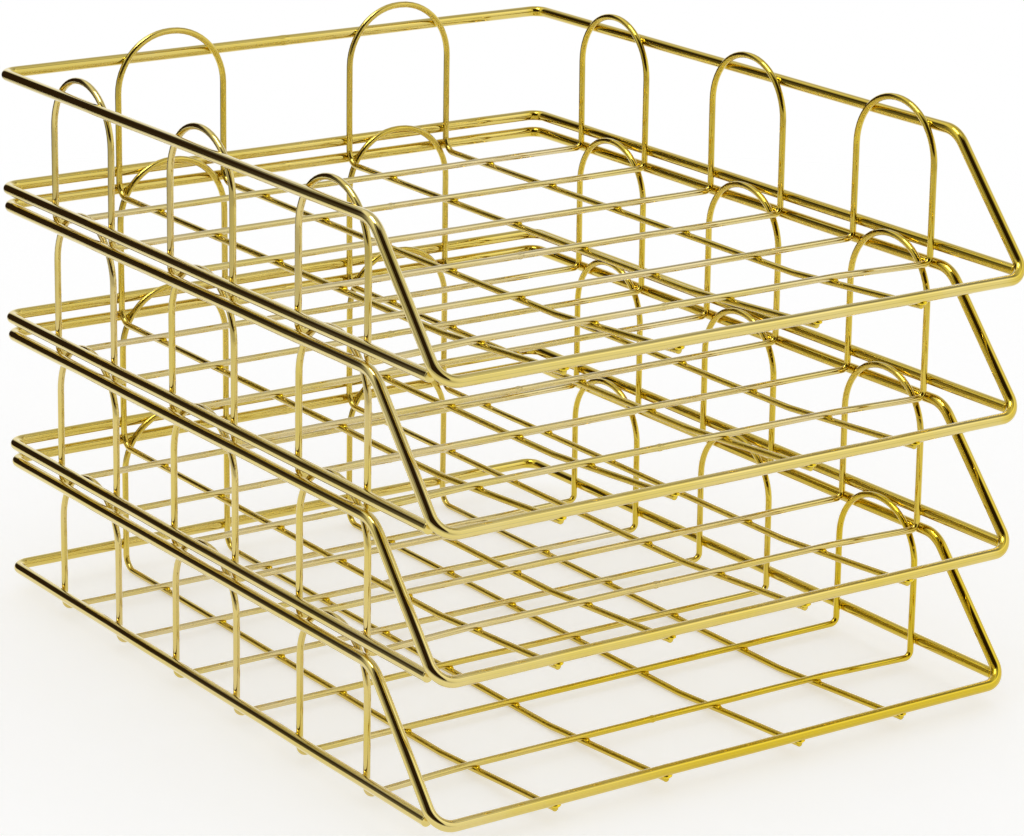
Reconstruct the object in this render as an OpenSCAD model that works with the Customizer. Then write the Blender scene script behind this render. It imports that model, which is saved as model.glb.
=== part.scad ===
// Stack of open-front letter trays, welded up from round wire.
// Each tray is seven bent wires: a rim ring, a base rail, three side loops and two floor hairpins.
// Frame: +Z up, the open front faces -Y, origin on the desk under the middle of the stack.

/* [Stack] */
// Number of trays in the stack
tray_count = 4; // [1:1:6]
// Height from one tray to the next
stack_pitch = 51.4; // [44:0.2:70]
// Gap left between a tray and the one that carries it, wherever they nest
rest_gap = 0.3; // [0.15:0.05:0.6]
// Clear height between the rim and the base rail of the tray above
rail_gap = 2.8; // [1.5:0.1:5]

/* [Tray] */
// Width between the centres of the left and right base rails
tray_w = 250; // [220:1:320]
// Depth from the centre of the front wire to the centre of the back base rail
tray_d = 304; // [280:1:380]
// How far the front wire lies below the base rail
front_drop = 1.4; // [0.5:0.1:3]
// How far back the slanted front uprights reach at the rim
upright_run = 40; // [25:1:48]

/* [Wire] */
// Diameter of the rim and base rail wire
frame_d = 4.2; // [3.4:0.1:5]
// Diameter of the loop and hairpin wire
grid_d = 2.5; // [2:0.1:3]
// How far two wires melt into each other where they are welded
weld_sink = 0.1; // [0.06:0.01:0.15]
// How far the cut ends of the base rail melt into the slanted uprights
end_sink = 0.4; // [0.2:0.05:0.8]

/* [Bends] */
// Bend radius of the back corners of the rim and base rail
back_corner_r = 5.5; // [4:0.5:12]
// Bend radius at the top of the slanted uprights
upright_r = 12; // [5:0.5:16]
// Bend radius of the front corners
front_corner_r = 7.5; // [5:0.5:10]
// Bend radius from a side leg into its cross run
foot_bend_r = 2.75; // [2:0.25:4.5]
// Bend radius where the floor runs start to rise, and where the front cross run comes down beside them
ramp_r = 40; // [20:1:60]

/* [Side loops] */
// Distance along the rim from the top of the upright to the front loop
front_space = 8; // [6:0.5:20]
// Distance from the rear loop to the back base rail
back_space = 36.5; // [25:0.5:50]
// Width of a side loop
loop_w = 44; // [38:0.5:52]
// Straight length at the top of a side arch
loop_crown = 1; // [0.5:0.5:6]
// How far a side arch stands above the rim
loop_rise = 7; // [4:0.1:10]

/* [Hairpins] */
// Distance between the middles of the two hairpins
hairpin_spacing = 106; // [80:1:130]
// Width of a hairpin
hairpin_w = 47; // [38:0.5:54]
// Straight length at the top of a back arch
hairpin_crown = 1; // [0.5:0.5:4]
// How far a back arch stands above the rim
hairpin_rise = 9.8; // [5:0.1:11.5]
// How far the cut ends reach past the centre of the front wire
nub = 0.2; // [0:0.1:2]

/* [Hidden] */
$fn = 48;
PIECES = [
    "rim", "base_rail", "front_loop", "middle_loop", "rear_loop", "left_hairpin", "right_hairpin"
];
NODES = [for (level = [1:tray_count]) for (piece = PIECES) str("tray_", level, "_", piece)];
node = "all";

// Colours of the plated wire
thick_gold = [0.80, 0.64, 0.20];
thin_gold = [0.82, 0.71, 0.38];

// A straight is drawn a hair thinner than its bends and reaches this far into them
draw_down = 0.04;
splice = 0.25;

// Heights of the rim and the front wire over the base rail, centre lines
rim_below = frame_d + rail_gap;
rim_z = stack_pitch - rim_below;
front_z = -front_drop;

// The walls lean in just enough for a tray's arches to pass inside the base rail above
leg_lean = (rest_gap + weld_sink) / stack_pitch;
nest_inset = leg_lean * rim_z;

// Half sizes of the base rail and of the rim, centre lines
base_half_w = tray_w / 2;
rim_half_w = base_half_w - nest_inset;
rim_back_y = tray_d - nest_inset;

// A leg stands inside the base rail and the rim and follows their lean
leg_offset = (frame_d + grid_d) / 2 - weld_sink;
function leg_x(z) = base_half_w - leg_offset - leg_lean * z;
function leg_y(z) = tray_d - leg_offset - leg_lean * z;

// At the rim below, a foot stands this far inside it and has to keep this distance from it
foot_in = leg_offset - nest_inset - leg_lean * rim_below;
foot_apart = (frame_d + grid_d) / 2 + rest_gap;

// The cross runs hang so low that the bends at their ends rest on the rim below
cross_z = sqrt(pow(foot_bend_r + foot_apart, 2) - pow(foot_bend_r + foot_in, 2)) - foot_bend_r - rim_below;

// The lengthwise runs pass under the cross runs, and their bends rest on the rim below as well
long_z = cross_z - grid_d + weld_sink;
long_above = long_z + rim_below;
pin_foot_r = foot_apart - foot_in - long_above
    + sqrt(2 * (foot_apart - foot_in) * (foot_apart - long_above));

// Height of the bottom tray's base rail above the desk
base_z = grid_d / 2 - long_z;

// The base rail's cut ends meet the slanted uprights with their upper edge
upright = [upright_run, rim_z - front_z];
upright_tilt = upright / norm(upright);
base_end_y = (frame_d / 2 - end_sink + (frame_d / 2 + front_drop) * upright_tilt[0]) / upright_tilt[1];

// Side loops: arch, and the depth of each loop's middle
loop_half = loop_w / 2;
loop_top_z = rim_z + loop_rise;
loop_arch_r = (loop_w - loop_crown) / 2;
front_loop_y = upright_run + front_space + loop_half;
rear_loop_y = tray_d - back_space - loop_half;
middle_loop_y = (front_loop_y + rear_loop_y) / 2;

// Hairpins: arch
pin_half = hairpin_w / 2;
pin_top_z = rim_z + hairpin_rise;
pin_arch_r = (hairpin_w - hairpin_crown) / 2;

// From the middle of the front loop the floor runs rise in a straight line and are welded under the front wire
ramp_start = front_loop_y;
under_front_z = front_z - leg_offset;
ramp_slope = (under_front_z - long_z) / ramp_start;
nub_z = under_front_z + ramp_slope * nub;

// The front loop's front run lies on them, so it is lifted over their whole spread
front_lift = ramp_slope * loop_half;
lift_half_w = hairpin_spacing / 2 + pin_half + grid_d;

function unit(v) = v / norm(v);

// Straight rod between two points, reaching a little into the bend at either end
module rod(a, b, d, splice_a, splice_b) {
    along = unit(b - a);
    side = unit(cross(along, abs(along[2]) < 0.9 ? [0, 0, 1] : [0, 1, 0]));
    up = cross(along, side);
    start = a - along * splice_a;
    multmatrix([
        [side[0], up[0], along[0], start[0]],
        [side[1], up[1], along[1], start[1]],
        [side[2], up[2], along[2], start[2]],
        [0, 0, 0, 1]
    ])
        cylinder(d = d - draw_down, h = norm(b - a) + splice_a + splice_b);
}

// Angle that a wire turns at corner p, and the length that its bend takes off each straight
function turn(before, p, after) = acos(unit(p - before) * unit(after - p));
function setback(before, p, after, r) = r * tan(turn(before, p, after) / 2);

// Round bend at corner p, between the straights to the points before and after it
module bend(before, p, after, r, d) {
    ahead = unit(p - before);
    leaving = unit(after - p);
    inward = unit(leaving - ahead * (ahead * leaving));
    axis = cross(ahead, inward);
    start = p - ahead * setback(before, p, after, r);
    centre = start + inward * r;
    multmatrix([
        [-inward[0], ahead[0], axis[0], centre[0]],
        [-inward[1], ahead[1], axis[1], centre[1]],
        [-inward[2], ahead[2], axis[2], centre[2]],
        [0, 0, 0, 1]
    ])
        rotate_extrude(angle = turn(before, p, after))
            translate([r, 0])
                circle(d = d);
}

// Round wire along corner points, each with its bend radius; an open wire ends at its end points
module wire(corners, radii, d, closed) {
    count = len(corners);
    first_bend = closed ? 0 : 1;
    last_bend = closed ? count - 1 : count - 2;
    function at(i) = corners[(i + count) % count];
    function bent(i) = i >= first_bend && i <= last_bend;
    function cut(i) = bent(i) ? setback(at(i - 1), at(i), at(i + 1), radii[i]) : 0;
    function reach(i) = bent(i) ? splice : 0;
    for (i = [0:last_bend]) {
        next = (i + 1) % count;
        along = unit(at(next) - at(i));
        rod(at(i) + along * cut(i), at(next) - along * cut(next), d, reach(i), reach(next));
    }
    for (i = [first_bend:last_bend])
        bend(at(i - 1), at(i), at(i + 1), radii[i], d);
}

module rim() {
    color(thick_gold)
        wire(
            [
                [-base_half_w, 0, front_z],
                [base_half_w, 0, front_z],
                [rim_half_w, upright_run, rim_z],
                [rim_half_w, rim_back_y, rim_z],
                [-rim_half_w, rim_back_y, rim_z],
                [-rim_half_w, upright_run, rim_z]
            ],
            [front_corner_r, front_corner_r, upright_r, back_corner_r, back_corner_r, upright_r],
            frame_d,
            closed = true
        );
}

module base_rail() {
    color(thick_gold)
        wire(
            [
                [-base_half_w, base_end_y, 0],
                [-base_half_w, tray_d, 0],
                [base_half_w, tray_d, 0],
                [base_half_w, base_end_y, 0]
            ],
            [0, back_corner_r, back_corner_r, 0],
            frame_d,
            closed = false
        );
}

// Side loop from its front run, given by its corners and their bend radii, over both arches to its rear run
module side_loop(y, front_run, front_radii) {
    foot_x = leg_x(cross_z);
    arch_x = leg_x(loop_top_z);
    color(thin_gold)
        wire(
            concat(front_run, [
                [arch_x, y - loop_half, loop_top_z],
                [arch_x, y + loop_half, loop_top_z],
                [foot_x, y + loop_half, cross_z],
                [-foot_x, y + loop_half, cross_z],
                [-arch_x, y + loop_half, loop_top_z],
                [-arch_x, y - loop_half, loop_top_z]
            ]),
            concat(front_radii, [loop_arch_r, loop_arch_r, foot_bend_r, foot_bend_r, loop_arch_r, loop_arch_r]),
            grid_d,
            closed = true
        );
}

// Side loop with a level front run, its middle at depth y
module level_loop(y) {
    foot_x = leg_x(cross_z);
    side_loop(
        y,
        [[-foot_x, y - loop_half, cross_z], [foot_x, y - loop_half, cross_z]],
        [foot_bend_r, foot_bend_r]
    );
}

module front_loop() {
    foot_x = leg_x(cross_z);
    run_y = front_loop_y - loop_half;
    side_loop(
        front_loop_y,
        [
            [-foot_x, run_y, cross_z],
            [-lift_half_w, run_y, cross_z + front_lift],
            [lift_half_w, run_y, cross_z + front_lift],
            [foot_x, run_y, cross_z]
        ],
        [foot_bend_r, ramp_r, ramp_r, foot_bend_r]
    );
}

module middle_loop() level_loop(middle_loop_y);

module rear_loop() level_loop(rear_loop_y);

// Floor hairpin whose middle lies at x
module hairpin(x) {
    foot_y = leg_y(long_z);
    arch_y = leg_y(pin_top_z);
    color(thin_gold)
        wire(
            [
                [x - pin_half, -nub, nub_z],
                [x - pin_half, ramp_start, long_z],
                [x - pin_half, foot_y, long_z],
                [x - pin_half, arch_y, pin_top_z],
                [x + pin_half, arch_y, pin_top_z],
                [x + pin_half, foot_y, long_z],
                [x + pin_half, ramp_start, long_z],
                [x + pin_half, -nub, nub_z]
            ],
            [0, ramp_r, pin_foot_r, pin_arch_r, pin_arch_r, pin_foot_r, ramp_r, 0],
            grid_d,
            closed = false
        );
}

module left_hairpin() hairpin(-hairpin_spacing / 2);

module right_hairpin() hairpin(hairpin_spacing / 2);

// Puts one tray's piece at its level in the stack, with the footprint centred on the origin
module at_level(level) {
    translate([0, -tray_d / 2, base_z + (level - 1) * stack_pitch])
        children();
}

function wanted(level, piece) = node == "all" || node == str("tray_", level, "_", piece);

for (level = [1:tray_count]) {
    if (wanted(level, "rim")) at_level(level) rim();
    if (wanted(level, "base_rail")) at_level(level) base_rail();
    if (wanted(level, "front_loop")) at_level(level) front_loop();
    if (wanted(level, "middle_loop")) at_level(level) middle_loop();
    if (wanted(level, "rear_loop")) at_level(level) rear_loop();
    if (wanted(level, "left_hairpin")) at_level(level) left_hairpin();
    if (wanted(level, "right_hairpin")) at_level(level) right_hairpin();
}
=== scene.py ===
"""Looks of the stack of wire letter trays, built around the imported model."""
import math
import random

import bpy
from mathutils import Matrix, Vector


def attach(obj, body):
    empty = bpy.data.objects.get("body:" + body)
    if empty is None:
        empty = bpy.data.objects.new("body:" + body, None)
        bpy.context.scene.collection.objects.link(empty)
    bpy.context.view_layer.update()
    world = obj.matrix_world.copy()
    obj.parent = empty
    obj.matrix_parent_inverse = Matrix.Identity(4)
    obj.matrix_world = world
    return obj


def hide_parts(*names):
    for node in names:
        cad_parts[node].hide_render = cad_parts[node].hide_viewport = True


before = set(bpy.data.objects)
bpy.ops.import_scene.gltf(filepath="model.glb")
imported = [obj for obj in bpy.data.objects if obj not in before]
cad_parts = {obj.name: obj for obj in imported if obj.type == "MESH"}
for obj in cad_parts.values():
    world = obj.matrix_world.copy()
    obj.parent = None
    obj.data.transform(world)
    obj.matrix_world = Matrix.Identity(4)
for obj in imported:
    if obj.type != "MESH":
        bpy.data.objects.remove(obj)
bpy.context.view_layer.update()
scene = bpy.context.scene

MM = 0.001

# Driving sizes in millimetres, as in the part's source
TRAY_COUNT = 4
PITCH = 51.4
REST_GAP = 0.3
RAIL_GAP = 2.8
TRAY_W = 250.0
TRAY_D = 304.0
FRONT_DROP = 1.4
UPRIGHT_RUN = 40.0
FRAME_D = 4.2
GRID_D = 2.5
WELD_SINK = 0.1
END_SINK = 0.4
BACK_CORNER_R = 5.5
UPRIGHT_R = 12.0
FRONT_CORNER_R = 7.5
FOOT_BEND_R = 2.75
RAMP_R = 40.0
FRONT_SPACE = 8.0
BACK_SPACE = 36.5
LOOP_W = 44.0
LOOP_CROWN = 1.0
LOOP_RISE = 7.0
HAIRPIN_SPACING = 106.0
HAIRPIN_W = 47.0
HAIRPIN_CROWN = 1.0
HAIRPIN_RISE = 9.8
NUB = 0.2

# Heights and places that follow from them, of centre lines
RIM_BELOW = FRAME_D + RAIL_GAP
RIM_Z = PITCH - RIM_BELOW
FRONT_Z = -FRONT_DROP
LEAN = (REST_GAP + WELD_SINK) / PITCH
INSET = LEAN * RIM_Z
HALF_W = TRAY_W / 2
RIM_HALF_W = HALF_W - INSET
RIM_BACK_Y = TRAY_D - INSET
LEG_OFFSET = (FRAME_D + GRID_D) / 2 - WELD_SINK
FOOT_IN = LEG_OFFSET - INSET - LEAN * RIM_BELOW
FOOT_APART = (FRAME_D + GRID_D) / 2 + REST_GAP
CROSS_Z = (math.sqrt((FOOT_BEND_R + FOOT_APART) ** 2 - (FOOT_BEND_R + FOOT_IN) ** 2)
           - FOOT_BEND_R - RIM_BELOW)
LONG_Z = CROSS_Z - GRID_D + WELD_SINK
LONG_ABOVE = LONG_Z + RIM_BELOW
PIN_FOOT_R = (FOOT_APART - FOOT_IN - LONG_ABOVE
              + math.sqrt(2 * (FOOT_APART - FOOT_IN) * (FOOT_APART - LONG_ABOVE)))
BASE_Z = GRID_D / 2 - LONG_Z
UPRIGHT_L = math.hypot(UPRIGHT_RUN, RIM_Z - FRONT_Z)
TILT_Y = UPRIGHT_RUN / UPRIGHT_L
TILT_Z = (RIM_Z - FRONT_Z) / UPRIGHT_L
BASE_END_Y = (FRAME_D / 2 - END_SINK + (FRAME_D / 2 + FRONT_DROP) * TILT_Y) / TILT_Z
LOOP_TOP_Z = RIM_Z + LOOP_RISE
LOOP_ARCH_R = (LOOP_W - LOOP_CROWN) / 2
FRONT_LOOP_Y = UPRIGHT_RUN + FRONT_SPACE + LOOP_W / 2
REAR_LOOP_Y = TRAY_D - BACK_SPACE - LOOP_W / 2
LOOP_Y = {
    "front_loop": FRONT_LOOP_Y,
    "middle_loop": (FRONT_LOOP_Y + REAR_LOOP_Y) / 2,
    "rear_loop": REAR_LOOP_Y,
}
PIN_X = {"left_hairpin": -HAIRPIN_SPACING / 2, "right_hairpin": HAIRPIN_SPACING / 2}
PIN_TOP_Z = RIM_Z + HAIRPIN_RISE
PIN_ARCH_R = (HAIRPIN_W - HAIRPIN_CROWN) / 2
RAMP_START = FRONT_LOOP_Y
UNDER_FRONT_Z = FRONT_Z - LEG_OFFSET
RAMP_SLOPE = (UNDER_FRONT_Z - LONG_Z) / RAMP_START
NUB_Z = UNDER_FRONT_Z + RAMP_SLOPE * NUB
LIFT_HALF_W = HAIRPIN_SPACING / 2 + HAIRPIN_W / 2 + GRID_D

# Height by which the rising hairpins lift a loop's front run
LIFT = {"front_loop": RAMP_SLOPE * LOOP_W / 2, "middle_loop": 0, "rear_loop": 0}


def leg_x(z):
    """Distance of a loop's legs from the middle plane at a height."""
    return HALF_W - LEG_OFFSET - LEAN * z


def leg_y(z):
    """Distance of a hairpin's legs from the front wire at a height."""
    return TRAY_D - LEG_OFFSET - LEAN * z


# How finely the wires are meshed: rings along straights and bends, more of them near the ends
RING_STEP = 3.0
BEND_STEP = math.radians(7.5)
FINE_STEPS = (0.12, 0.3, 0.55, 0.85, 1.2, 1.7, 2.4, 3.4)
STATION_DIGITS = 4
THICK_SIDES = 36
THIN_SIDES = 28


def bent_path(corners, radii):
    """Points and directions along a wire that is bent at each inner corner with its radius."""
    points = [Vector(c) for c in corners]
    last = len(points) - 1
    rings = []

    def straight(a, b, fine_a, fine_b):
        along = b - a
        length = along.length
        along.normalize()
        count = max(1, math.ceil(length / RING_STEP))
        stations = {round(length * i / count, STATION_DIGITS) for i in range(count + 1)}
        if fine_a:
            stations |= set(FINE_STEPS)
        if fine_b:
            stations |= {round(length - s, STATION_DIGITS) for s in FINE_STEPS}
        for s in sorted(stations):
            rings.append((a + along * s, along.copy()))

    start = points[0]
    for i in range(1, last):
        ahead = (points[i] - points[i - 1]).normalized()
        leaving = (points[i + 1] - points[i]).normalized()
        turn = ahead.angle(leaving)
        setback = radii[i] * math.tan(turn / 2)
        arc_start = points[i] - ahead * setback
        straight(start, arc_start, i == 1, False)
        inward = (leaving - ahead * ahead.dot(leaving)).normalized()
        centre = arc_start + inward * radii[i]
        steps = max(2, math.ceil(turn / BEND_STEP))
        for k in range(1, steps):
            cosine, sine = math.cos(turn * k / steps), math.sin(turn * k / steps)
            point = centre - inward * radii[i] * cosine + ahead * radii[i] * sine
            rings.append((point, ahead * cosine + inward * sine))
        start = points[i] + leaving * setback
    straight(start, points[last], False, True)
    return rings


def carried_normals(tangents, closed):
    """Normals carried along without twist, and the turn by which a closed wire misses its start."""
    normal = tangents[0].orthogonal().normalized()
    normals = [normal]
    for before, after in zip(tangents, tangents[1:]):
        normal = before.rotation_difference(after) @ normal
        normals.append((normal - after * after.dot(normal)).normalized())
    if not closed:
        return normals, 0.0
    back = tangents[-1].rotation_difference(tangents[0]) @ normals[-1]
    side = tangents[0].cross(normals[0])
    return normals, -math.atan2(back.dot(side), back.dot(normals[0]))


def ring_quads(count, sides, closed):
    """Faces between rings of points; the last ring of a closed row meets the first."""
    faces = []
    for i in range(count if closed else count - 1):
        j = (i + 1) % count
        for k in range(sides):
            m = (k + 1) % sides
            faces.append((i * sides + k, i * sides + m, j * sides + m, j * sides + k))
    return faces


# A butt weld leaves a bead, ground nearly flush on the rim: its rise as a share of the wire's
# radius, and its length
RIM_BEAD = (0.05, 1.6)
LOOP_BEAD = (0.15, 0.8)

# A cut end has its edge rounded by the plating
END_ROUND = 0.35

# Slow bow of the hand-fed wire, small against the gap that the trays leave to each other. It fades
# out towards the ends
BOW = 0.07
BOW_WAVES = (61.0, 97.0, 149.0)
BOW_FADE = 12.0


def wire_mesh(rings, radius, sides, bead, bow_seed):
    """Round wire along the rings; one with a bead is closed, and welded at its first ring."""
    closed = bead is not None
    draw = random.Random(bow_seed)
    waves = [(w, draw.uniform(0, math.tau), draw.uniform(0, math.tau)) for w in BOW_WAVES]
    stations = [0.0]
    for (a, _), (b, _) in zip(rings, rings[1:]):
        stations.append(stations[-1] + (b - a).length)
    length = stations[-1]
    if closed:
        rings, stations = rings[:-1], stations[:-1]
    tangents = [t.normalized() for _, t in rings]
    normals, twist = carried_normals(tangents, closed)

    verts, drawn = [], []
    for (point, _), tangent, normal, s in zip(rings, tangents, normals, stations):
        side = tangent.cross(normal)
        end = min(s, length - s)
        shift = Vector((0, 0, 0))
        for wave, phase_a, phase_b in waves:
            shift += normal * math.sin(math.tau * s / wave + phase_a)
            shift += side * math.sin(math.tau * s / wave + phase_b)
        fade = min(1.0, end / BOW_FADE)
        centre = point + shift * (BOW * fade / len(waves))
        size = radius
        if closed:
            bead_rise, bead_length = bead
            size *= 1 + bead_rise * math.exp(-(end / bead_length) ** 2)
        elif end < END_ROUND:
            size -= END_ROUND - math.sqrt(END_ROUND ** 2 - (END_ROUND - end) ** 2)
        for k in range(sides):
            around = math.tau * k / sides
            angle = around + twist * s / length
            outward = normal * math.cos(angle) + side * math.sin(angle)
            verts.append((centre + outward * size) * MM)
            drawn += (s * MM, math.cos(around), math.sin(around))
    faces = ring_quads(len(rings), sides, closed)
    if not closed:
        faces.append(tuple(reversed(range(sides))))
        faces.append(tuple(range(len(verts) - sides, len(verts))))
    return verts, faces, drawn


def add_piece(name, verts, faces, material, attributes):
    """Smooth mesh object with one material; an attribute has one or three numbers a point."""
    mesh = bpy.data.meshes.new(name)
    mesh.from_pydata(verts, [], faces)
    mesh.validate()
    for key, values in attributes.items():
        if len(values) == len(verts):
            mesh.attributes.new(key, "FLOAT", "POINT").data.foreach_set("value", values)
        else:
            mesh.attributes.new(key, "FLOAT_VECTOR", "POINT").data.foreach_set("vector", values)
    mesh.shade_smooth()
    mesh.materials.append(material)
    obj = bpy.data.objects.new(name, mesh)
    scene.collection.objects.link(obj)
    return obj


def mirrored_ring(middle, half, radii):
    """Closed wire from a point in the middle plane along one half and back along its mirror."""
    other = [(-x, y, z) for x, y, z in reversed(half)]
    return [middle] + half + other + [middle], [0] + radii + radii[::-1] + [0]


def rim_corners():
    """Rim from the middle of its back run over the left side."""
    half = [(-RIM_HALF_W, RIM_BACK_Y, RIM_Z), (-RIM_HALF_W, UPRIGHT_RUN, RIM_Z),
            (-HALF_W, 0, FRONT_Z)]
    radii = [BACK_CORNER_R, UPRIGHT_R, FRONT_CORNER_R]
    return mirrored_ring((0, RIM_BACK_Y, RIM_Z), half, radii)


def base_corners():
    """Base rail from its left end round the back to its right end."""
    left, right = -HALF_W, HALF_W
    corners = [(left, BASE_END_Y, 0), (left, TRAY_D, 0), (right, TRAY_D, 0), (right, BASE_END_Y, 0)]
    return corners, [0, BACK_CORNER_R, BACK_CORNER_R, 0]


def loop_corners(y, lift):
    """Side loop from the middle of its front run, which is lifted where it crosses the hairpins."""
    foot, arch = leg_x(CROSS_Z), leg_x(LOOP_TOP_Z)
    near, far = y - LOOP_W / 2, y + LOOP_W / 2
    half = [(foot, near, CROSS_Z), (arch, near, LOOP_TOP_Z),
            (arch, far, LOOP_TOP_Z), (foot, far, CROSS_Z)]
    radii = [FOOT_BEND_R, LOOP_ARCH_R, LOOP_ARCH_R, FOOT_BEND_R]
    if lift:
        half.insert(0, (LIFT_HALF_W, near, CROSS_Z + lift))
        radii.insert(0, RAMP_R)
    return mirrored_ring((0, near, CROSS_Z + lift), half, radii)


def pin_corners(x):
    """Hairpin from its left cut end to its right one."""
    left, right = x - HAIRPIN_W / 2, x + HAIRPIN_W / 2
    half = [(-NUB, NUB_Z), (RAMP_START, LONG_Z), (leg_y(LONG_Z), LONG_Z),
            (leg_y(PIN_TOP_Z), PIN_TOP_Z)]
    corners = [(left, y, z) for y, z in half] + [(right, y, z) for y, z in reversed(half)]
    radii = [0, RAMP_R, PIN_FOOT_R, PIN_ARCH_R]
    return corners, radii + radii[::-1]


# Pieces of one tray: name, corners and radii, diameter, sides, and the bead of a closed wire
PIECES = [
    ("rim", rim_corners(), FRAME_D, THICK_SIDES, RIM_BEAD),
    ("base_rail", base_corners(), FRAME_D, THICK_SIDES, None),
]
PIECES += [(name, loop_corners(y, LIFT[name]), GRID_D, THIN_SIDES, LOOP_BEAD)
           for name, y in LOOP_Y.items()]
PIECES += [(name, pin_corners(x), GRID_D, THIN_SIDES, None) for name, x in PIN_X.items()]

# A weld nugget fills the crease between two crossing wires: half sizes along the first wire, along
# the second and across the joint, in the walls, where floor runs cross, and under the front wire
WALL_NUGGET = (1.25, 1.25, 0.5)
FLOOR_NUGGET = (1.25, 2.2, 0.5)
FRONT_NUGGET = (2.0, 2.0, 0.9)

# Shares between which the nuggets' half sizes vary
NUGGET_VARY = (0.85, 1.15)
NUGGET_DEPTH_VARY = (0.85, 1.1)
NUGGET_ROWS = 7
NUGGET_SIDES = 12


def half_at_rim(top_z, arch_r, crown):
    """Half the width of an arch where it passes the rim."""
    return crown / 2 + math.sqrt(arch_r ** 2 - (RIM_Z - (top_z - arch_r)) ** 2)


def weld_spots():
    """Welds of one tray: point, directions across the joint and of both wires, and nugget."""
    x_dir, y_dir, z_dir = Vector((1, 0, 0)), Vector((0, 1, 0)), Vector((0, 0, 1))
    on_floor, on_side, on_back = (z_dir, x_dir, y_dir), (x_dir, y_dir, z_dir), (y_dir, x_dir, z_dir)
    face = FRAME_D / 2 - WELD_SINK / 2
    crossing_z = (CROSS_Z + LONG_Z) / 2
    runs_x = [x + side * HAIRPIN_W / 2 for x in PIN_X.values() for side in (-1, 1)]
    loop_half = half_at_rim(LOOP_TOP_Z, LOOP_ARCH_R, LOOP_CROWN)
    pin_half = half_at_rim(PIN_TOP_Z, PIN_ARCH_R, HAIRPIN_CROWN)
    spots = []

    def weld(x, y, z, directions, nugget):
        spots.append((Vector((x, y, z)), *directions, nugget))

    for name, y in LOOP_Y.items():
        for side in (-1, 1):
            run_y, arch_y = y + side * LOOP_W / 2, y + side * loop_half
            lift = LIFT[name] if side < 0 else 0
            for x in runs_x:
                weld(x, run_y, crossing_z + lift, on_floor, FLOOR_NUGGET)
            for wall in (-1, 1):
                weld(wall * (HALF_W - face), run_y, 0, on_side, WALL_NUGGET)
                weld(wall * (RIM_HALF_W - face), arch_y, RIM_Z, on_side, WALL_NUGGET)
    for x in PIN_X.values():
        for side in (-1, 1):
            weld(x + side * HAIRPIN_W / 2, TRAY_D - face, 0, on_back, WALL_NUGGET)
            weld(x + side * pin_half, RIM_BACK_Y - face, RIM_Z, on_back, WALL_NUGGET)
    for x in runs_x:
        weld(x, 0, FRONT_Z - face, on_floor, FRONT_NUGGET)
    return spots


def nugget_mesh(spots, seed):
    """Flat ellipsoids at the welds, each of a slightly different size."""
    draw = random.Random(seed)
    verts, faces = [], []
    for point, across, first, second, (along_first, along_second, half_depth) in spots:
        size_a = along_first * draw.uniform(*NUGGET_VARY)
        size_b = along_second * draw.uniform(*NUGGET_VARY)
        deep = half_depth * draw.uniform(*NUGGET_DEPTH_VARY)
        start = len(verts)
        verts.append((point - across * deep) * MM)
        for row in range(1, NUGGET_ROWS):
            polar = math.pi * row / NUGGET_ROWS
            level_point = point - across * (deep * math.cos(polar))
            for k in range(NUGGET_SIDES):
                angle = math.tau * k / NUGGET_SIDES
                spread = first * (size_a * math.cos(angle)) + second * (size_b * math.sin(angle))
                verts.append((level_point + spread * math.sin(polar)) * MM)
        verts.append((point + across * deep) * MM)
        top = len(verts) - 1
        for k in range(NUGGET_SIDES):
            m = (k + 1) % NUGGET_SIDES
            faces.append((start, start + 1 + m, start + 1 + k))
            for row in range(NUGGET_ROWS - 2):
                a = start + 1 + row * NUGGET_SIDES
                b = a + NUGGET_SIDES
                faces.append((a + k, a + m, b + m, b + k))
            a = start + 1 + (NUGGET_ROWS - 2) * NUGGET_SIDES
            faces.append((top, a + k, a + m))
    return verts, faces


def set_inputs(node, values):
    """Give a node's inputs their values."""
    for key, value in values.items():
        node.inputs[key].default_value = value


def link_inputs(tree, node, sources):
    """Feed a node's inputs from outputs."""
    for key, output in sources.items():
        tree.links.new(output, node.inputs[key])


def new_node(tree, kind, values, sources, **settings):
    """Shader node with its settings, its input values and the outputs that feed it."""
    node = tree.nodes.new(kind)
    for key, value in settings.items():
        setattr(node, key, value)
    set_inputs(node, values)
    link_inputs(tree, node, sources)
    return node


def shader(name):
    """New node material, its tree and its principled shader."""
    material = bpy.data.materials.new(name)
    material.use_nodes = True
    tree = material.node_tree
    return material, tree, tree.nodes["Principled BSDF"]


def noise(tree, vector, values):
    """Noise over a vector."""
    return new_node(tree, "ShaderNodeTexNoise", values, {"Vector": vector}).outputs["Fac"]


def remap(tree, value, limits, **settings):
    """Value taken from one range to another; a limit left out is 0 or 1."""
    node = new_node(tree, "ShaderNodeMapRange", limits, {"Value": value}, **settings)
    return node.outputs["Result"]


def relief(tree, height, values):
    """Normal that follows a height."""
    return new_node(tree, "ShaderNodeBump", values, {"Height": height}).outputs["Normal"]


def point_value(tree, attribute, output):
    """Output of an attribute that a mesh carries at its points."""
    return new_node(tree, "ShaderNodeAttribute", {}, {}, attribute_name=attribute).outputs[output]


def two_tones(tree, factor, stops, colours):
    """Colour that goes from one tone to another between two stops of a factor."""
    ramp = new_node(tree, "ShaderNodeValToRGB", {}, {"Fac": factor})
    for element, stop, colour in zip(ramp.color_ramp.elements, stops, colours):
        element.position = stop
        element.color = (*colour, 1)
    return ramp.outputs["Color"]


# Painted reflection and shade: a deeper gold for the gold that the wires mirror from each other
# and for the shade near the floor; painted glint: a bright gold where wires cross at a weld
REFLECTION_SHADE_GOLD = (0.66, 0.475, 0.002)
GLINT_GOLD = (0.95, 0.72, 0.03)

# Noise values between which the plating goes from its deep to its base tone
CLOUD_STOPS = (0.36, 0.62)
GRAIN_STOPS = (0.35, 0.65)

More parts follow.
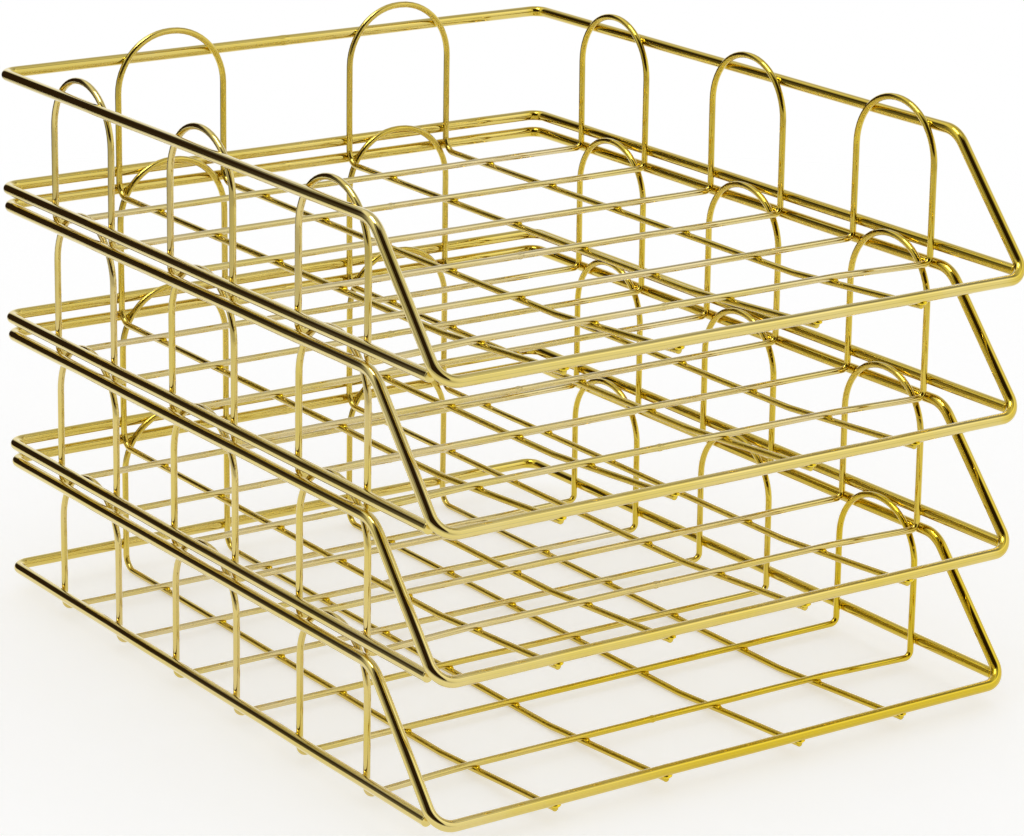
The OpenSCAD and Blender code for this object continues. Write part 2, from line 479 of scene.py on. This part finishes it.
# Die lines: how fast they change along the wire, per metre, and around it
DIE_LINES = (7.0, 1.4, 1.4)


def plated_gold(name, base, deep, rough_low, rough_high):
    """Lacquered brass-coloured plating on drawn wire: cloudy in tone, with die lines along it, and
    with painted reflection and shade (a deeper gold) and a painted glint where the mesh says so."""
    material, tree, bsdf = shader(name)
    place = tree.nodes.new("ShaderNodeTexCoord").outputs["Object"]
    cloud = noise(tree, place, {"Scale": 22.0, "Detail": 3.0, "Roughness": 0.6})
    colour = two_tones(tree, cloud, CLOUD_STOPS, (deep, base))
    # Mix in the painted reflection and shade (a deeper gold), then the painted glint at the welds
    for attribute, tint in (("depth", REFLECTION_SHADE_GOLD), ("heat", GLINT_GOLD)):
        sources = {"Factor": point_value(tree, attribute, "Fac"), "A": colour}
        mix = new_node(tree, "ShaderNodeMix", {"B": (*tint, 1)}, sources, data_type="RGBA")
        colour = mix.outputs["Result"]

    drawn = point_value(tree, "drawn", "Vector")
    stretch = new_node(tree, "ShaderNodeVectorMath", {1: DIE_LINES}, {0: drawn},
                       operation="MULTIPLY")
    lines = noise(tree, stretch.outputs["Vector"], {"Scale": 1.0, "Detail": 2.0, "Roughness": 0.55})
    polish = remap(tree, lines, {"From Min": 0.3, "From Max": 0.72,
                                 "To Min": rough_low, "To Max": rough_high})
    normal = relief(tree, lines, {"Strength": 0.04, "Distance": 0.0003})

    set_inputs(bsdf, {"Metallic": 1.0, "Coat Weight": 0.8, "Coat Roughness": 0.03})
    link_inputs(tree, bsdf, {"Base Color": colour, "Roughness": polish, "Normal": normal})
    return material


def glint_weld_gold(name, base, deep):
    """Plating over a weld nugget, a little rough from the heat, in a brighter, warmer gold that is
    painted glint.
    """
    material, tree, bsdf = shader(name)
    place = tree.nodes.new("ShaderNodeTexCoord").outputs["Object"]
    grain = noise(tree, place, {"Scale": 900.0, "Detail": 3.0})
    colour = two_tones(tree, grain, GRAIN_STOPS, (deep, base))
    polish = remap(tree, grain, {"To Min": 0.1, "To Max": 0.25})
    normal = relief(tree, grain, {"Strength": 0.3, "Distance": 0.0002})
    set_inputs(bsdf, {"Metallic": 1.0})
    link_inputs(tree, bsdf, {"Base Color": colour, "Roughness": polish, "Normal": normal})
    return material


# One plating in three tones: the grid's paler and the hairpins' deeper gold are painted light and
# shade
frame_gold = plated_gold("frame_gold", base=(0.75, 0.61, 0.205), deep=(0.73, 0.58, 0.125),
                         rough_low=0.03, rough_high=0.08)
grid_gold = plated_gold("grid_gold", base=(0.73, 0.61, 0.31), deep=(0.70, 0.57, 0.17),
                        rough_low=0.04, rough_high=0.09)
pin_gold = plated_gold("pin_gold", base=(0.70, 0.54, 0.12), deep=(0.68, 0.51, 0.06),
                       rough_low=0.14, rough_high=0.24)
# The nuggets' brighter, warmer gold is a painted glint of the crossing wires
nugget_glint_gold = glint_weld_gold("nugget_glint_gold", base=(0.95, 0.72, 0.04), deep=(0.82, 0.60, 0.025))

# Painted glint at a weld, how far it reaches along the wires, and the farthest weld that counts, in
# reaches
GLINT_PEAK = 0.85
GLINT_REACH = 3.2
GLINT_CUT = 5


def glint_values(verts, spots, sides):
    """Painted glint at each point; only the welds near a ring of points count for it."""
    values = []
    for first in range(0, len(verts), sides):
        ring = [v / MM for v in verts[first:first + sides]]
        near = [s[0] for s in spots if (ring[0] - s[0]).length < GLINT_CUT * GLINT_REACH]
        for v in ring:
            nearest = min(((v - weld).length_squared for weld in near), default=math.inf)
            values.append(GLINT_PEAK * math.exp(-nearest / GLINT_REACH ** 2))
    return values


def ease(low, high, value):
    """Smooth step from 0 at low to 1 at high."""
    t = min(1.0, max(0.0, (value - low) / (high - low)))
    return t * t * (3 - 2 * t)


# Painted reflection and shade: the deeper gold goes at the front right of the lower trays, on the
# right and the back of every tray, on the left legs of its loops and on the floor runs of its
# hairpins, for the gold that the wires mirror from each other and the shade near the floor
FRONT_REFLECTION_SHADE = {1: 1.0, 2: 0.3, 3: 0.1, 4: 0.0}
RIGHT_REFLECTION_SHADE = 0.85
BACK_REFLECTION_SHADE = 0.3
LEG_REFLECTION_SHADE = 0.35
RUN_REFLECTION_SHADE = 0.6

# Where it sets in to the right, to the left or to the back, and where it ends to the back, in
# shares of half the width and of the tray's length from front to back
FRONT_FROM_X = (-1.0, 0.0)
FRONT_END_Y = (0.3, 0.7)
RIGHT_FROM_X = (0.9, 0.97)
BACK_FROM_Y = (0.9, 1.0)
LEG_FROM_LEFT = (0.85, 0.95)
RUN_END_Y = (0.6, 0.95)


def depth_values(verts, level, name):
    """How much painted reflection and shade, as a deeper gold, each point of a tray's piece gets.
    """
    leg_depth = LEG_REFLECTION_SHADE if name in LOOP_Y else 0.0
    run_depth = RUN_REFLECTION_SHADE if name in PIN_X else 0.0
    values = []
    for v in verts:
        x, y = v.x / MM / HALF_W, v.y / MM / TRAY_D
        front = FRONT_REFLECTION_SHADE[level] * ease(*FRONT_FROM_X, x) * (1 - ease(*FRONT_END_Y, y))
        right = RIGHT_REFLECTION_SHADE * ease(*RIGHT_FROM_X, x)
        back = BACK_REFLECTION_SHADE * ease(*BACK_FROM_Y, y)
        leg = leg_depth * ease(*LEG_FROM_LEFT, -x)
        run = run_depth * (1 - ease(*RUN_END_Y, y))
        values.append(max(front, right, back, leg, run))
    return values


# Seeds of the wires' bows count up within a tray, and those of the nuggets by tray
BOW_SEEDS_PER_TRAY = 100
NUGGET_SEED = 900

spots = weld_spots()
shapes = [(name, bent_path(corners, radii), diameter / 2, sides, bead)
          for name, (corners, radii), diameter, sides, bead in PIECES]
for level in range(1, TRAY_COUNT + 1):
    body = "tray_%d" % level
    place = Vector((0, -TRAY_D / 2, BASE_Z + (level - 1) * PITCH)) * MM
    for index, (name, rings, radius, sides, bead) in enumerate(shapes):
        node = "%s_%s" % (body, name)
        bow_seed = BOW_SEEDS_PER_TRAY * level + index
        verts, faces, drawn = wire_mesh(rings, radius, sides, bead, bow_seed)
        attributes = {
            "drawn": drawn,
            # painted glint around the welds, a bright gold
            "heat": glint_values(verts, spots, sides),
            # painted reflection and shade, as a deeper gold
            "depth": depth_values(verts, level, name),
        }
        material = pin_gold if name in PIN_X else grid_gold if name in LOOP_Y else frame_gold
        piece = add_piece(node + "_wire", [v + place for v in verts], faces, material, attributes)
        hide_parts(node)
        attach(piece, body)
    verts, faces = nugget_mesh(spots, NUGGET_SEED + level)
    welds = add_piece(body + "_welds", [v + place for v in verts], faces, nugget_glint_gold, {})
    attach(welds, body)


# Camera found by fitting the rails in the photograph, in metres and degrees
CAMERA_AT = (-0.73581, -1.07222, 0.49677)
CAMERA_YAW, CAMERA_PITCH, CAMERA_ROLL = 34.7754, 17.3196, 0.8476
FOCAL_PIXELS = 3622.33
IMAGE_WIDTH = 1024
SENSOR = 36.0


def photo_camera():
    """Camera that sees the stack as the photograph does."""
    yaw, pitch, roll = (math.radians(a) for a in (CAMERA_YAW, CAMERA_PITCH, CAMERA_ROLL))
    ahead = math.cos(pitch)
    forward = Vector((math.sin(yaw) * ahead, math.cos(yaw) * ahead, -math.sin(pitch)))
    level_right = Vector((math.cos(yaw), -math.sin(yaw), 0))
    level_up = level_right.cross(forward)
    right = level_right * math.cos(roll) + level_up * math.sin(roll)
    up = level_up * math.cos(roll) - level_right * math.sin(roll)
    data = bpy.data.cameras.new("camera")
    data.sensor_fit = "HORIZONTAL"
    data.sensor_width = SENSOR
    data.lens = FOCAL_PIXELS * SENSOR / IMAGE_WIDTH
    camera = bpy.data.objects.new("camera", data)
    camera.matrix_world = Matrix((
        (right.x, up.x, -forward.x, CAMERA_AT[0]),
        (right.y, up.y, -forward.y, CAMERA_AT[1]),
        (right.z, up.z, -forward.z, CAMERA_AT[2]),
        (0, 0, 0, 1),
    ))
    scene.collection.objects.link(camera)
    scene.camera = camera


def seen_rays(tree):
    """1 for rays that show the background, straight, mirrored or through glass, else 0."""
    path = tree.nodes.new("ShaderNodeLightPath")
    seen = path.outputs["Is Camera Ray"]
    for ray in ("Is Glossy Ray", "Is Transmission Ray"):
        either = new_node(tree, "ShaderNodeMath", {}, {0: seen, 1: path.outputs[ray]},
                          operation="MAXIMUM")
        seen = either.outputs["Value"]
    return seen


# Strength of the white room as light on surfaces; where it is seen, it is 1
ROOM_LIGHT = 0.78


def white_world():
    """White room round the stack."""
    world = bpy.data.worlds.new("studio")
    world.use_nodes = True
    tree = world.node_tree
    background = tree.nodes["Background"]
    strength = remap(tree, seen_rays(tree), {"To Min": ROOM_LIGHT, "To Max": 1.0})
    set_inputs(background, {"Color": (1, 1, 1, 1)})
    link_inputs(tree, background, {"Strength": strength})
    scene.world = world


# Round floor in metres: its rim fades out from a smaller radius on, and a little white is added
# where it is seen
FLOOR_RADIUS = 1.1
FLOOR_FADE_FROM = 0.35
FLOOR_SIDES = 96
FLOOR_LIFT = 0.37


def pale_floor():
    """Pale matte floor that takes the shadow."""
    material, tree, bsdf = shader("floor_white")
    place = tree.nodes.new("ShaderNodeTexCoord").outputs["Object"]
    matte = remap(tree, noise(tree, place, {"Scale": 6.0}), {"To Min": 0.82, "To Max": 0.92})
    lift = new_node(tree, "ShaderNodeMath", {1: FLOOR_LIFT}, {0: seen_rays(tree)},
                    operation="MULTIPLY")
    reach = new_node(tree, "ShaderNodeVectorMath", {}, {0: place}, operation="LENGTH")
    limits = {"From Min": FLOOR_FADE_FROM, "From Max": FLOOR_RADIUS, "To Min": 1.0, "To Max": 0.0}
    fade = remap(tree, reach.outputs["Value"], limits, interpolation_type="SMOOTHSTEP")
    set_inputs(bsdf, {"Base Color": (0.8, 0.8, 0.8, 1), "Specular IOR Level": 0.0,
                      "Emission Color": (1, 1, 1, 1)})
    link_inputs(tree, bsdf, {"Roughness": matte, "Emission Strength": lift.outputs["Value"],
                             "Alpha": fade})
    turns = [math.tau * k / FLOOR_SIDES for k in range(FLOOR_SIDES)]
    ring = [(FLOOR_RADIUS * math.cos(t), FLOOR_RADIUS * math.sin(t), 0) for t in turns]
    floor = add_piece("floor", ring, [tuple(range(FLOOR_SIDES))], material, {})


# Cloths round the white room. Azimuths run in degrees from the back to the right; for the cloths on
# the left and in front they are negative, from the back over the left as far as the seam on the
# right. A soft edge is given by its two ends, a hump by its middle and its reach
SEAM = 60

# Black cloth low behind the stack on the left, and a grey room beside and before it
BACK_ACROSS, BACK_TOP = ((-80, -30), (0, 14)), (32, 46)
SIDE_SHADE, SIDE_ACROSS, SIDE_TOP = 0.45, ((-215, -170), (-55, -40)), (14, 26)

# Black cloth high in front in two lengths from the right round to the left, with a slit near its
# left end; its lower edge steps up on the right
FRONT_LENGTHS = ((0.6, (-250, -228)), (0.4, (-205, -185)))
FRONT_LEFT_END = (-95, -75)
FRONT_LOW, FRONT_STEP, FRONT_STEP_AT = -2, 46, (-200, -175)
FRONT_LOW_EDGE = 12
FRONT_TOP = (62, 82)
SLIT_SHARE, SLIT_ACROSS = 0.5, (-98, 5)

# Grey ceiling on the right with a darker beam, and the edge of the white table against the room
CEILING_SHADE, CEILING_ACROSS, CEILING_FROM = 0.42, ((5, 25), (70, 140)), (18, 34)
BEAM_SHADE, BEAM_ACROSS, BEAM_HEIGHT = 0.72, ((60, 74), (102, 116)), (50, 20)
TABLE_SHADE, TABLE_FROM, TABLE_HEIGHT = 0.35, (60, 90), (-7, 6)


def band(rise, fall, value):
    """1 between two soft edges and 0 outside them."""
    return ease(*rise, value) * (1 - ease(*fall, value))


def hump(middle, reach, value):
    """1 at the middle, going smoothly to 0 at its reach on either side."""
    return 1 - ease(0, reach, abs(value - middle))


def flag_shade(azimuth, elevation):
    """How much of the white room cloth covers in a direction, in degrees."""
    around = azimuth if azimuth < SEAM else azimuth - 360
    back = band(*BACK_ACROSS, around) * (1 - ease(*BACK_TOP, elevation))
    side = SIDE_SHADE * band(*SIDE_ACROSS, around) * (1 - ease(*SIDE_TOP, elevation))
    lengths = sum(share * ease(*start, around) for share, start in FRONT_LENGTHS)
    across = lengths * (1 - ease(*FRONT_LEFT_END, around))
    low = FRONT_LOW + FRONT_STEP * (1 - ease(*FRONT_STEP_AT, around))
    height = band((low, low + FRONT_LOW_EDGE), FRONT_TOP, elevation)
    front = across * height * (1 - SLIT_SHARE * hump(*SLIT_ACROSS, around))
    ceiling = CEILING_SHADE * band(*CEILING_ACROSS, azimuth) * ease(*CEILING_FROM, elevation)
    beam = BEAM_SHADE * band(*BEAM_ACROSS, azimuth) * hump(*BEAM_HEIGHT, elevation)
    table = TABLE_SHADE * ease(*TABLE_FROM, azimuth) * hump(*TABLE_HEIGHT, elevation)
    return max(back, side, front, ceiling, beam, table)


# Dome that carries the cloths: radius in metres, lowest and highest elevation, grid, and glow
FLAG_RADIUS = 4.0
FLAG_LOW, FLAG_HIGH = -32.0, 88.0
FLAG_ROWS = 60
FLAG_SIDES = 120
FLAG_GLOW = (0.02, 0.008, 0.002)


def studio_flags():
    """Cloth round the white room, seen only as the dark streaks in the polished wire."""
    verts, shades = [], []
    for row in range(FLAG_ROWS + 1):
        elevation = FLAG_LOW + (FLAG_HIGH - FLAG_LOW) * row / FLAG_ROWS
        for k in range(FLAG_SIDES):
            azimuth = 360.0 * k / FLAG_SIDES - 180
            a, e = math.radians(azimuth), math.radians(elevation)
            direction = Vector((math.cos(e) * math.sin(a), math.cos(e) * math.cos(a), math.sin(e)))
            verts.append(direction * FLAG_RADIUS)
            shades.append(flag_shade(azimuth, elevation))
    faces = [face for face in ring_quads(FLAG_ROWS + 1, FLAG_SIDES, False)
             if max(shades[corner] for corner in face) > 0]
    material, tree, bsdf = shader("flag_black")
    set_inputs(bsdf, {"Base Color": (0.01, 0.01, 0.01, 1), "Roughness": 1.0,
                      "Specular IOR Level": 0.0, "Emission Color": (*FLAG_GLOW, 1),
                      "Emission Strength": 1.0})
    link_inputs(tree, bsdf, {"Alpha": point_value(tree, "shade", "Fac")})
    flags = add_piece("studio_flags", verts, faces, material, {"shade": shades})
    flags.visible_camera = False
    flags.visible_diffuse = False
    flags.visible_shadow = False
    flags.visible_transmission = False


def area_light(name, at, aim, size, radiance):
    """Square lamp of a size and brightness, seen only as a reflection in the wire."""
    data = bpy.data.lights.new(name, "AREA")
    data.shape = "SQUARE"
    data.size = size
    data.energy = math.pi * size * size * radiance
    light = bpy.data.objects.new(name, data)
    light.location = at
    light.rotation_euler = (Vector(aim) - Vector(at)).to_track_quat("-Z", "Y").to_euler()
    light.visible_diffuse = False
    scene.collection.objects.link(light)


photo_camera()
white_world()
pale_floor()
studio_flags()
area_light("overhead_box", at=(-0.45, 0.15, 1.7), aim=(0.0, 0.0, 0.2), size=0.65, radiance=7.0)
area_light("front_box", at=(1.81, -1.47, 2.0), aim=(0.0, 0.0, 0.12), size=0.85, radiance=0.35)

scene.view_settings.view_transform = "Standard"
